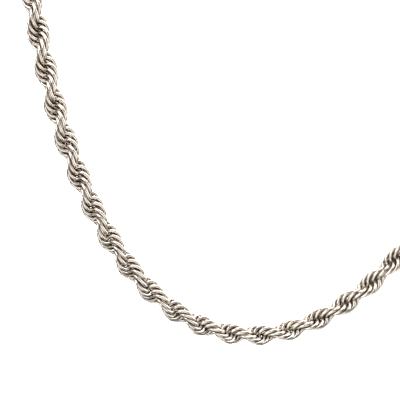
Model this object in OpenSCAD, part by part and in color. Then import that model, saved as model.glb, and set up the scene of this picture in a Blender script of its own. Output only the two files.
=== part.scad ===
// Rope chain necklace, hanging as it is worn.
// Two strands of small round links wind round each other to the right.
// Here the wound strands are one twisted body, two lobes wide, that
// swells and narrows twice in each full turn as the real rope does.
// The loop closes at the nape in a plain barrel clasp.
// Origin: the middle of the clasp, on the side that lies against the nape.
// +Z is up, the front of the necklace faces -Y, +X is to its right.

/* [Rope] */
// Width of the rope over its beads
rope_w = 5.2; // [3:0.1:8]
// Width of the rope at the necks between the beads
neck_w = 2.7; // [1.5:0.1:4]
// Length of one full turn of the two strands, which is two beads
rope_lay = 17.15; // [10:0.05:24]

/* [Loop as it hangs] */
// Height from the nape down to the lowest point in front
front_drop = 154; // [100:1:200]
// Distance from the nape forward to the lowest point in front
front_reach = 108; // [80:1:130]
// Reach of each side from the middle
side_reach = 52.5; // [40:0.5:75]
// How far the sides are carried forward over the shoulders
side_forward = 27; // [10:1:40]
// How far the shoulders hold the sides up
shoulder_lift = 18; // [0:1:40]
// Share by which the loop is narrower at the nape and wider in front
front_flare = 0.2; // [0:0.05:0.4]

/* [Clasp] */
// Length of the barrel
clasp_l = 16; // [12:0.5:24]
// Diameter of the barrel
clasp_d = 7.2; // [6.6:0.1:12]
// Depth of the seat that takes each end of the rope
seat_depth = 3; // [1.5:0.1:5]
// Space round a rope end in its seat
seat_gap = 0.2; // [0.1:0.05:0.3]
// Radius of the barrel's rounded ends
clasp_round = 0.5; // [0.2:0.05:0.8]

/* [Hidden] */
white_metal = [0.80, 0.77, 0.72];

// Corners of the rope's section, and sections in one full turn
rope_sides = 10;
turn_sections = 12;
// Angle between points on the route, and shares of it for the direction
route_step = 1.5;
look_ahead = 0.5;
// Turn of the two lobes at the lowest point, which sets where the beads fall
front_turn = 126;
// The twist runs a little ahead and behind by turns, over this length
twist_sway = 21;
sway_length = 109;
sway_start = -63;
// Facets round the barrel and its seats, step of its rounded corners, and
// how far the cut of a seat runs out past the barrel's end
barrel_facets = 64;
corner_step = 15;
cut_over = 1;

nape_y = clasp_d / 2;
seat_d = rope_w + 2 * seat_gap;
rope_end = clasp_l / 2 - seat_depth + seat_gap;

// A point on the middle line of the loop. The angle is 0 at the lowest
// point in front and 180 at the nape, negative on the left.
function route(angle) =
    let (front = (1 + cos(angle)) / 2)
    let (side = sin(angle) * sin(angle))
    let (back = sin(angle / 2) * sin(angle / 2))
    let (hand = angle < 0 ? -1 : 1)
    [
        side_reach * sin(angle) * (1 + front_flare * cos(angle)) + hand * clasp_l / 2 * back,
        nape_y - front_reach * front - side_forward * side,
        shoulder_lift * side - front_drop * front
    ];

// The middle line from one seat round the front to the other seat
route_points = concat(
    [[-rope_end, nape_y, 0]],
    [for (angle = [-180:route_step:180]) route(angle)],
    [[rope_end, nape_y, 0]]
);
route_last = len(route_points) - 1;

// Length of the middle line up to each of its points
route_lengths = [
    for (i = 0, run = 0; i <= route_last;
         run = run + (i < route_last ? norm(route_points[i + 1] - route_points[i]) : 0), i = i + 1)
        run
];
rope_length = route_lengths[route_last];

// The same line as three tables of length against place
route_x = [for (i = [0:route_last]) [route_lengths[i], route_points[i].x]];
route_y = [for (i = [0:route_last]) [route_lengths[i], route_points[i].y]];
route_z = [for (i = [0:route_last]) [route_lengths[i], route_points[i].z]];
function place(run) = [lookup(run, route_x), lookup(run, route_y), lookup(run, route_z)];

function unit(v) = v / norm(v);

// Square to the plane that holds the nape and the lowest point in front
loop_facing = unit([0, -front_drop, front_reach]);

// One section of the rope: a two-lobed oval, turned by the lay
function section(run) =
    let (ahead = unit(place(run + look_ahead) - place(run - look_ahead)))
    let (across = unit(cross(ahead, loop_facing)))
    let (out = cross(ahead, across))
    let (from_front = run - rope_length / 2)
    let (sway = twist_sway * sin(360 * from_front / sway_length + sway_start))
    let (turn = front_turn + 360 * from_front / rope_lay + sway)
    let (wide = cos(turn) * across + sin(turn) * out)
    let (narrow = cross(ahead, wide))
    [
        for (i = [0:rope_sides - 1])
            let (a = 360 * (i + 0.5) / rope_sides)
            place(run) + rope_w / 2 * cos(a) * wide + neck_w / 2 * sin(a) * narrow
    ];

module rope_chain() {
    gaps = round(rope_length / rope_lay * turn_sections);
    points = [for (i = [0:gaps]) each section(rope_length * i / gaps)];
    walls = [
        for (i = [0:gaps - 1])
            for (j = [0:rope_sides - 1])
                let (a = i * rope_sides + j)
                let (b = i * rope_sides + (j + 1) % rope_sides)
                each [[a, a + rope_sides, b], [b, a + rope_sides, b + rope_sides]]
    ];
    first_end = [for (j = [0:rope_sides - 1]) j];
    last_end = [for (j = [rope_sides - 1:-1:0]) gaps * rope_sides + j];
    color(white_metal)
        polyhedron(points = points, faces = concat(walls, [first_end], [last_end]), convexity = 10);
}

// One barrel with a seat bored in each end
module clasp() {
    corner = [for (a = [0:corner_step:90]) [
        clasp_d / 2 - clasp_round + clasp_round * cos(a),
        clasp_l / 2 - clasp_round + clasp_round * sin(a)
    ]];
    lower_corner = [for (i = [len(corner) - 1:-1:0]) [corner[i].x, -corner[i].y]];
    color(white_metal)
        translate([0, nape_y, 0])
            rotate([0, 90, 0])
                difference() {
                    rotate_extrude($fn = barrel_facets)
                        polygon(concat([[0, -clasp_l / 2]], lower_corner, corner, [[0, clasp_l / 2]]));
                    for (end = [0, 1])
                        mirror([0, 0, end])
                            translate([0, 0, clasp_l / 2 - seat_depth])
                                cylinder(d = seat_d, h = seat_depth + cut_over, $fn = barrel_facets);
                }
}

rope_chain();
clasp();
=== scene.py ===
import math

import bpy
from mathutils import Matrix, Vector


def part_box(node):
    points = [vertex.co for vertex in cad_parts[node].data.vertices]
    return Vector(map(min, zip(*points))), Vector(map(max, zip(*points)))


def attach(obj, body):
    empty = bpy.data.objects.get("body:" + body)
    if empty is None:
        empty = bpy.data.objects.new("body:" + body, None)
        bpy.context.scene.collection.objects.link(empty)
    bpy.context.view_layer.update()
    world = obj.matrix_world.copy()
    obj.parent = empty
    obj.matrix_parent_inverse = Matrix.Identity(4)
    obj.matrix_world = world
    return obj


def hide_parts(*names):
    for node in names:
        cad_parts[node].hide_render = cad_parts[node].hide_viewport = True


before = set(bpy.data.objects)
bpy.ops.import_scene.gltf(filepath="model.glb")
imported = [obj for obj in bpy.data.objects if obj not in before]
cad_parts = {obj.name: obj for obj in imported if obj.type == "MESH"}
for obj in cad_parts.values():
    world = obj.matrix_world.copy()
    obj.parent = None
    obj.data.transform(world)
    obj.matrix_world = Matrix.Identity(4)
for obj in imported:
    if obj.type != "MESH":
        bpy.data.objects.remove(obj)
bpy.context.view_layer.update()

# The rope: about eight hundred small links of round white metal wire, a little longer
# than wide. Each is threaded through the ones before it and turned half round from the
# last, so that they wind round each other as two right-handed strands.
mm = 0.001
rope_width = 5.2 * mm
rope_lay = 17.15 * mm
front_turn = math.radians(126)
twist_sway = math.radians(21)
sway_length = 109 * mm
sway_start = math.radians(-63)
front_drop = 154 * mm
front_reach = 108 * mm
side_reach = 52.5 * mm
side_forward = 27 * mm
shoulder_lift = 18 * mm
front_flare = 0.2
seat_depth = 3 * mm
seat_gap = 0.2 * mm
route_steps = 240

links_per_turn = 28
link_sides = 14
wire_sides = 6
wire_radius = 0.38 * mm
strand_offset = 0.40 * mm
link_radius = rope_width / 2 - wire_radius - strand_offset
link_stretch = 1.20
link_lean = math.radians(-4)
link_wobble = math.radians(5)
lean_wobble = math.radians(4)
rope_seed = 7

# How far and with how many rays each point looks for wire nearby, and how far it must face its open
# side: these set where shade is painted deep between the links.
crevice_reach = 1.2 * mm
crevice_rays = 20
ray_lift = 0.01 * mm
golden_angle = math.pi * (3 - math.sqrt(5))
hidden_facing = 0.04
open_facing = 0.34

link_dull = (0.86, 0.785, 0.705, 1)
link_bright = (0.95, 0.885, 0.81, 1)
# The dark brown of the painted shade deep between the links.
painted_crevice_shade = (0.13, 0.08, 0.04, 1)
link_shade_share = 0.6
cloud_scale = 900
scratch_scale = 5200
scratch_depth = 0.02 * mm

clasp_low, clasp_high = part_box("clasp")
clasp_length = clasp_high.x - clasp_low.x
nape_y = (clasp_low.y + clasp_high.y) / 2
rope_end = clasp_length / 2 - seat_depth + seat_gap


def route_point(angle):
    """A point on the rope's middle line: 0 at the lowest point in front, pi at the nape."""
    front = (1 + math.cos(angle)) / 2
    side = math.sin(angle) ** 2
    back = math.sin(angle / 2) ** 2
    across = side_reach * math.sin(angle) * (1 + front_flare * math.cos(angle))
    return (
        across + math.copysign(clasp_length / 2 * back, angle),
        nape_y - front_reach * front - side_forward * side,
        shoulder_lift * side - front_drop * front,
    )


route = [(-rope_end, nape_y, 0)]
route += [route_point(math.pi * (2 * i / route_steps - 1)) for i in range(route_steps + 1)]
route += [(rope_end, nape_y, 0)]
rope_length = sum((Vector(b) - Vector(a)).length for a, b in zip(route, route[1:]))
link_reach = link_stretch * link_radius + wire_radius
link_count = round((rope_length - 2 * link_reach) / rope_lay * links_per_turn) + 1

line_mesh = bpy.data.meshes.new("rope_route")
line_mesh.from_pydata(route, [(i, i + 1) for i in range(len(route) - 1)], [])
rope_route = bpy.data.objects.new("rope_route", line_mesh)
bpy.context.scene.collection.objects.link(rope_route)


def put(tree, kind, inputs=(), **settings):
    """Adds a node, sets its options, and sets or links its inputs by name or number."""
    node = tree.nodes.new(kind)
    for name, value in settings.items():
        setattr(node, name, value)
    for key, value in dict(inputs).items():
        if isinstance(value, bpy.types.NodeSocket):
            tree.links.new(value, node.inputs[key])
        else:
            node.inputs[key].default_value = value
    return node


def math_node(tree, operation, a, b=0.0):
    """The result of one sum on two numbers or sockets."""
    return put(tree, "ShaderNodeMath", {0: a, 1: b}, operation=operation).outputs[0]


def open_side(tree, mesh, reach):
    """Mean of the rays from each point, spread about its normal, that meet nothing near."""
    out = tree.nodes.new("GeometryNodeInputNormal").outputs[0]
    lift = put(tree, "ShaderNodeVectorMath", {0: out, "Scale": ray_lift}, operation="SCALE")
    start = put(tree, "ShaderNodeVectorMath",
                {0: tree.nodes.new("GeometryNodeInputPosition").outputs[0], 1: lift.outputs[0]})
    mean = (0, 0, 0)
    for i in range(crevice_rays):
        rise = 1 - (2 * i + 1) / crevice_rays
        ring = math.sqrt(1 - rise * rise)
        spin = i * golden_angle
        side = (ring * math.cos(spin), ring * math.sin(spin), rise)
        aim = put(tree, "ShaderNodeVectorMath", {0: out, 1: side}).outputs[0]
        aim = put(tree, "ShaderNodeVectorMath", {0: aim}, operation="NORMALIZE").outputs[0]
        met = put(tree, "GeometryNodeRaycast",
                  {"Target Geometry": mesh, "Source Position": start.outputs[0],
                   "Ray Direction": aim, "Ray Length": reach}).outputs["Is Hit"]
        clear = math_node(tree, "DIVIDE", math_node(tree, "SUBTRACT", 1.0, met), crevice_rays)
        kept = put(tree, "ShaderNodeVectorMath", {0: aim, "Scale": clear}, operation="SCALE")
        mean = put(tree, "ShaderNodeVectorMath", {0: kept.outputs[0], 1: mean}).outputs[0]
    return mean


def links_tree():
    """Rings set along a line, each turned on from the last by the lay, and half round."""
    tree = bpy.data.node_groups.new("wound_links", "GeometryNodeTree")
    face = tree.interface
    face.new_socket("Geometry", in_out="INPUT", socket_type="NodeSocketGeometry")
    for name, kind in {
        "Links": "NodeSocketInt",
        "Link Radius": "NodeSocketFloat",
        "Link Stretch": "NodeSocketFloat",
        "Wire Radius": "NodeSocketFloat",
        "Link Sides": "NodeSocketInt",
        "Wire Sides": "NodeSocketInt",
        "Strand Offset": "NodeSocketFloat",
        "Lean": "NodeSocketFloat",
        "Wobble": "NodeSocketFloat",
        "Lean Wobble": "NodeSocketFloat",
        "Lay": "NodeSocketFloat",
        "Front Turn": "NodeSocketFloat",
        "Sway": "NodeSocketFloat",
        "Sway Length": "NodeSocketFloat",
        "Sway Start": "NodeSocketFloat",
        "Loop Facing": "NodeSocketVector",
        "Crevice Reach": "NodeSocketFloat",
        "Seed": "NodeSocketInt",
        "Metal": "NodeSocketMaterial",
    }.items():
        face.new_socket(name, in_out="INPUT", socket_type=kind)
    face.new_socket("Geometry", in_out="OUTPUT", socket_type="NodeSocketGeometry")
    given = tree.nodes.new("NodeGroupInput").outputs

    # One link: a ring of round wire, set off to its own strand's side
    ring = put(tree, "GeometryNodeCurvePrimitiveCircle",
               {"Resolution": given["Link Sides"], "Radius": given["Link Radius"]})
    longer = put(tree, "ShaderNodeCombineXYZ", {"X": given["Link Stretch"], "Y": 1.0, "Z": 1.0})
    ring = put(tree, "GeometryNodeTransform", {"Geometry": ring.outputs[0], "Scale": longer.outputs[0]})
    wire = put(tree, "GeometryNodeCurvePrimitiveCircle",
               {"Resolution": given["Wire Sides"], "Radius": given["Wire Radius"]})
    link = put(tree, "GeometryNodeCurveToMesh",
               {"Curve": ring.outputs[0], "Profile Curve": wire.outputs[0]})
    lean = put(tree, "ShaderNodeCombineXYZ",
               {"Y": math_node(tree, "MULTIPLY", given["Lean"], -1.0)})
    aside = put(tree, "ShaderNodeCombineXYZ", {"Y": given["Strand Offset"]})
    link = put(tree, "GeometryNodeTransform",
               {"Geometry": link.outputs[0], "Translation": aside.outputs[0],
                "Rotation": lean.outputs[0]})

    # Places along the rope, kept a link's reach inside both ends
    line = put(tree, "GeometryNodeMeshToCurve", {"Mesh": given["Geometry"]})
    whole = put(tree, "GeometryNodeCurveLength", {0: line.outputs[0]}).outputs[0]
    reach = math_node(tree, "MULTIPLY", given["Link Radius"], given["Link Stretch"])
    reach = math_node(tree, "ADD", reach, given["Wire Radius"])
    line = put(tree, "GeometryNodeTrimCurve",
               {"Curve": line.outputs[0], 4: reach,
                5: math_node(tree, "SUBTRACT", whole, reach)}, mode="LENGTH")
    line = put(tree, "GeometryNodeResampleCurve",
               {"Curve": line.outputs[0], "Count": given["Links"]}, mode="COUNT")

    # How each link is turned: across the rope first, round it by the lay, then a little
    # off at random
    ahead = tree.nodes.new("GeometryNodeInputTangent").outputs[0]
    across = put(tree, "ShaderNodeVectorMath", {0: ahead, 1: given["Loop Facing"]},
                 operation="CROSS_PRODUCT").outputs[0]
    level = put(tree, "FunctionNodeAxesToRotation",
                {0: ahead, 1: across}, primary_axis="X", secondary_axis="Y")
    run = tree.nodes.new("GeometryNodeSplineParameter").outputs["Length"]
    run = math_node(tree, "ADD", run, reach)
    run = math_node(tree, "SUBTRACT", run, math_node(tree, "MULTIPLY", whole, 0.5))
    wound = math_node(tree, "MULTIPLY", math_node(tree, "DIVIDE", run, given["Lay"]), math.tau)
    sway = math_node(tree, "DIVIDE", run, given["Sway Length"])
    sway = math_node(tree, "ADD", math_node(tree, "MULTIPLY", sway, math.tau), given["Sway Start"])
    sway = math_node(tree, "MULTIPLY", math_node(tree, "SINE", sway), given["Sway"])
    number = tree.nodes.new("GeometryNodeInputIndex").outputs[0]
    strand = math_node(tree, "MULTIPLY", number, math.pi)
    turn = math_node(tree, "ADD", wound, math_node(tree, "ADD", strand, given["Front Turn"]))
    turn = math_node(tree, "ADD", turn, sway)
    shake = put(tree, "FunctionNodeRandomValue",
                {2: -1.0, 3: 1.0, "ID": number, "Seed": given["Seed"]}, data_type="FLOAT")
    turn = math_node(tree, "ADD", turn,
                     math_node(tree, "MULTIPLY", shake.outputs[1], given["Wobble"]))
    spin = put(tree, "FunctionNodeAxisAngleToRotation", {"Axis": (1, 0, 0), "Angle": turn})
    turned = put(tree, "FunctionNodeRotateRotation",
                 {0: level.outputs[0], 1: spin.outputs[0]}, rotation_space="LOCAL")
    tip = put(tree, "FunctionNodeRandomValue",
              {2: -1.0, 3: 1.0, "ID": number,
               "Seed": math_node(tree, "ADD", given["Seed"], 2.0)}, data_type="FLOAT")
    tip = put(tree, "ShaderNodeCombineXYZ",
              {"Y": math_node(tree, "MULTIPLY", tip.outputs[1], given["Lean Wobble"])})
    turned = put(tree, "FunctionNodeRotateRotation",
                 {0: turned.outputs[0], 1: tip.outputs[0]}, rotation_space="LOCAL")
    rope = put(tree, "GeometryNodeInstanceOnPoints",
               {"Points": line.outputs[0], "Instance": link.outputs[0],
                "Rotation": turned.outputs[0]})

    # Each link keeps a shade of its own
    shade = put(tree, "FunctionNodeRandomValue",
                {2: 0.0, 3: 1.0, "Seed": math_node(tree, "ADD", given["Seed"], 1.0)},
                data_type="FLOAT")
    rope = put(tree, "GeometryNodeStoreNamedAttribute",
               {"Geometry": rope.outputs[0], "Name": "link_shade", "Value": shade.outputs[1]},
               data_type="FLOAT", domain="INSTANCE")
    rope = put(tree, "GeometryNodeRealizeInstances", {"Geometry": rope.outputs[0]})
    rope = put(tree, "GeometryNodeSetShadeSmooth", {"Geometry": rope.outputs[0]})

    # Which way each point lies open and how far, which sets where shade is painted deep between the
    # links
    clear = open_side(tree, rope.outputs[0], given["Crevice Reach"])
    rope = put(tree, "GeometryNodeStoreNamedAttribute",
               {"Geometry": rope.outputs[0], "Name": "open_side", "Value": clear},
               data_type="FLOAT_VECTOR", domain="POINT")
    rope = put(tree, "GeometryNodeSetMaterial",
               {"Geometry": rope.outputs[0], "Material": given["Metal"]})
    put(tree, "NodeGroupOutput", {0: rope.outputs[0]})
    return tree


def rope_metal():
    """Polished warm white metal with painted shade deep between the links, and hair scratches."""
    metal = bpy.data.materials.new("rope_metal")
    metal.use_nodes = True
    tree = metal.node_tree
    surface = tree.nodes["Principled BSDF"]
    surface.inputs["Metallic"].default_value = 1.0
    lies = tree.nodes.new("ShaderNodeTexCoord").outputs
    here = lies["Object"]
    opening = put(tree, "ShaderNodeAttribute", attribute_name="open_side").outputs["Vector"]
    facing = put(tree, "ShaderNodeVectorMath", {0: lies["Normal"], 1: opening},
                 operation="DOT_PRODUCT").outputs["Value"]
    shade = put(tree, "ShaderNodeAttribute", attribute_name="link_shade").outputs["Fac"]

    clouds = put(tree, "ShaderNodeTexNoise",
                 {"Vector": here, "Scale": cloud_scale, "Detail": 3}).outputs[0]
    tone = math_node(tree, "ADD", math_node(tree, "MULTIPLY", shade, link_shade_share),
                     math_node(tree, "MULTIPLY", clouds, 1 - link_shade_share))
    bright = put(tree, "ShaderNodeMix", {0: tone, 6: link_dull, 7: link_bright},
                 data_type="RGBA").outputs[2]
    # Painted shade: where the surface turns away from its open side, deep between the links, the colour
    # goes to dark brown.
    unshaded_share = put(tree, "ShaderNodeMapRange",
                   {"Value": facing, "From Min": hidden_facing, "From Max": open_facing}).outputs[0]
    colour = put(tree, "ShaderNodeMix", {0: unshaded_share, 6: painted_crevice_shade, 7: bright},
                 data_type="RGBA").outputs[2]
    tree.links.new(colour, surface.inputs["Base Color"])

    scratches = put(tree, "ShaderNodeTexNoise",
                    {"Vector": here, "Scale": scratch_scale, "Detail": 4, "Roughness": 0.7}).outputs[0]
    rough = put(tree, "ShaderNodeMapRange",
                {"Value": scratches, "To Min": 0.04, "To Max": 0.16}).outputs[0]
    tree.links.new(rough, surface.inputs["Roughness"])
    bump = put(tree, "ShaderNodeBump",
               {"Height": scratches, "Strength": 0.12, "Distance": scratch_depth})
    tree.links.new(bump.outputs[0], surface.inputs["Normal"])
    return metal


def set_inputs(modifier, values):
    """Sets a Geometry Nodes modifier's inputs, given by their names."""
    for item in modifier.node_group.interface.items_tree:
        if item.in_out == "INPUT" and item.name in values:
            modifier[item.identifier] = values[item.name]


winding = rope_route.modifiers.new("winding", "NODES")
winding.node_group = links_tree()
set_inputs(winding, {
    "Links": link_count,
    "Link Radius": link_radius,
    "Link Stretch": link_stretch,
    "Wire Radius": wire_radius,
    "Link Sides": link_sides,
    "Wire Sides": wire_sides,
    "Strand Offset": strand_offset,
    "Lean": link_lean,
    "Wobble": link_wobble,
    "Lean Wobble": lean_wobble,
    "Lay": rope_lay,
    "Front Turn": front_turn,
    "Sway": twist_sway,
    "Sway Length": sway_length,
    "Sway Start": sway_start,
    "Loop Facing": Vector((0, -front_drop, front_reach)).normalized(),
    "Crevice Reach": crevice_reach,
    "Seed": rope_seed,
    "Metal": rope_metal(),
})
wound = rope_route.evaluated_get(bpy.context.evaluated_depsgraph_get())
rope_mesh = bpy.data.meshes.new_from_object(wound)
rope_route.modifiers.remove(winding)
bpy.data.objects.remove(rope_route)
rope_links = bpy.data.objects.new("rope_links", rope_mesh)
bpy.context.scene.collection.objects.link(rope_links)
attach(rope_links, "root")
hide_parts("rope_chain")

# The clasp: one plain turned barrel of the same metal, finely brushed along its length.
# The rope's two ends are set in the round seats bored in its ends.
clasp_dull = (0.78, 0.73, 0.66, 1)
clasp_bright = (0.92, 0.88, 0.83, 1)
clasp_cloud_scale = 350
brush_scale = 5200
brush_draw = 0.06
brush_depth = 0.02 * mm


def clasp_metal():
    """Brushed warm white metal: fine lines along the barrel."""
    metal = bpy.data.materials.new("clasp_metal")
    metal.use_nodes = True
    tree = metal.node_tree
    surface = tree.nodes["Principled BSDF"]
    surface.inputs["Metallic"].default_value = 1.0
    here = tree.nodes.new("ShaderNodeTexCoord").outputs["Object"]
    drawn = put(tree, "ShaderNodeMapping", {"Vector": here, "Scale": (brush_draw, 1, 1)}).outputs[0]
    lines = put(tree, "ShaderNodeTexNoise",
                {"Vector": drawn, "Scale": brush_scale, "Detail": 3, "Roughness": 0.7}).outputs[0]
    clouds = put(tree, "ShaderNodeTexNoise",
                 {"Vector": here, "Scale": clasp_cloud_scale, "Detail": 4}).outputs[0]
    colour = put(tree, "ShaderNodeMix", {0: clouds, 6: clasp_dull, 7: clasp_bright},
                 data_type="RGBA").outputs[2]
    tree.links.new(colour, surface.inputs["Base Color"])
    rough = put(tree, "ShaderNodeMapRange",
                {"Value": lines, "To Min": 0.16, "To Max": 0.36}).outputs[0]
    tree.links.new(rough, surface.inputs["Roughness"])
    bump = put(tree, "ShaderNodeBump", {"Height": lines, "Strength": 0.2, "Distance": brush_depth})
    tree.links.new(bump.outputs[0], surface.inputs["Normal"])
    return metal


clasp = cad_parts["clasp"]
clasp.data.materials.clear()
clasp.data.materials.append(clasp_metal())

# The floor and the light: a plain pale floor well below the hanging loop, a dim room
# that is pale only low in front, and four large round softboxes, over the loop, at its
# right and left, and a weaker one behind it.
floor_level = -0.45
floor_half = 6.0
floor_pale = (0.9, 0.9, 0.9, 1)
plain_white = (1, 1, 1, 1)
floor_corners = [
    (x * floor_half, y * floor_half, floor_level)
    for x, y in ((-1, -1), (1, -1), (1, 1), (-1, 1))
]
floor_mesh = bpy.data.meshes.new("floor")
floor_mesh.from_pydata(floor_corners, [], [(0, 1, 2, 3)])
floor = bpy.data.objects.new("floor", floor_mesh)
bpy.context.scene.collection.objects.link(floor)
floor_paint = bpy.data.materials.new("floor_paint")
floor_paint.use_nodes = True
floor_surface = floor_paint.node_tree.nodes["Principled BSDF"]
floor_surface.inputs["Base Color"].default_value = floor_pale
floor_surface.inputs["Roughness"].default_value = 0.9
floor_surface.inputs["Emission Color"].default_value = plain_white
floor_surface.inputs["Emission Strength"].default_value = 1.0
floor_mesh.materials.append(floor_paint)
floor.visible_glossy = False
floor.visible_shadow = False

pale_side = Vector((-0.35, -0.87, -0.30)).normalized()
pale_core = math.cos(math.radians(30))
pale_edge = math.cos(math.radians(50))
room_dim = (0.20, 0.195, 0.19, 1)
room_pale = (1.10, 1.08, 1.06, 1)
room = bpy.data.worlds.new("room")
bpy.context.scene.world = room
room.use_nodes = True
tree = room.node_tree
outward = tree.nodes.new("ShaderNodeTexCoord").outputs["Generated"]
towards = put(tree, "ShaderNodeVectorMath", {0: outward, 1: pale_side}, operation="DOT_PRODUCT")
towards = put(tree, "ShaderNodeMapRange",
              {"Value": towards.outputs["Value"],
               "From Min": pale_edge, "From Max": pale_core}).outputs[0]
walls = put(tree, "ShaderNodeMix", {0: towards, 6: room_dim, 7: room_pale}, data_type="RGBA")
lit = tree.nodes["Background"]
tree.links.new(walls.outputs[2], lit.inputs["Color"])
seen = tree.nodes.new("ShaderNodeLightPath").outputs["Is Camera Ray"]
plain = put(tree, "ShaderNodeBackground", {"Color": plain_white, "Strength": 1.0})
mixed = put(tree, "ShaderNodeMixShader", {0: seen, 1: lit.outputs[0], 2: plain.outputs[0]})
tree.links.new(mixed.outputs[0], tree.nodes["World Output"].inputs["Surface"])

loop_middle = Vector((0, -0.055, -0.09))
softbox_distance = 1.5
softbox_white = (1.0, 0.99, 0.97)


def softbox(name, side, half_angle, brightness):
    """A round white light as wide as its half angle, seen from the middle of the loop."""
    panel = bpy.data.lights.new(name, "AREA")
    panel.shape = "DISK"
    radius = softbox_distance * math.tan(math.radians(half_angle))
    panel.size = 2 * radius
    panel.energy = brightness * math.pi * math.pi * radius * radius
    panel.color = softbox_white
    lamp = bpy.data.objects.new(name, panel)
    lamp.location = loop_middle + Vector(side).normalized() * softbox_distance
    lamp.rotation_euler = (-Vector(side)).to_track_quat("-Z", "Y").to_euler()
    lamp.visible_camera = False
    bpy.context.scene.collection.objects.link(lamp)


softbox("top_light", (0.28, 0.02, 0.96), 34, 2.15)
softbox("right_light", (0.98, 0.02, 0.20), 40, 1.7)
softbox("left_light", (-0.83, -0.03, 0.56), 34, 1.9)
softbox("back_light", (0.10, 0.95, 0.30), 34, 0.7)

# The camera: it stands in front of the loop, to its left and a little above it, at the
# photo's own angle, and sees the stretch of rope that the photo shows.
camera_place = (-0.1658, -0.3981, 0.0545)
camera_heading = math.radians(25.883)
camera_dip = math.radians(27.308)
camera_roll = math.radians(3.949)
camera_data = bpy.data.cameras.new("camera")
camera_data.lens = 146.38
camera_data.clip_start = 0.01
camera = bpy.data.objects.new("camera", camera_data)
camera.matrix_world = (
    Matrix.Translation(camera_place)
    @ Matrix.Rotation(-camera_heading, 4, "Z")
    @ Matrix.Rotation(math.pi / 2 - camera_dip, 4, "X")
    @ Matrix.Rotation(camera_roll, 4, "Z")
)
bpy.context.scene.collection.objects.link(camera)
bpy.context.scene.camera = camera
bpy.context.scene.view_settings.view_transform = "Standard"
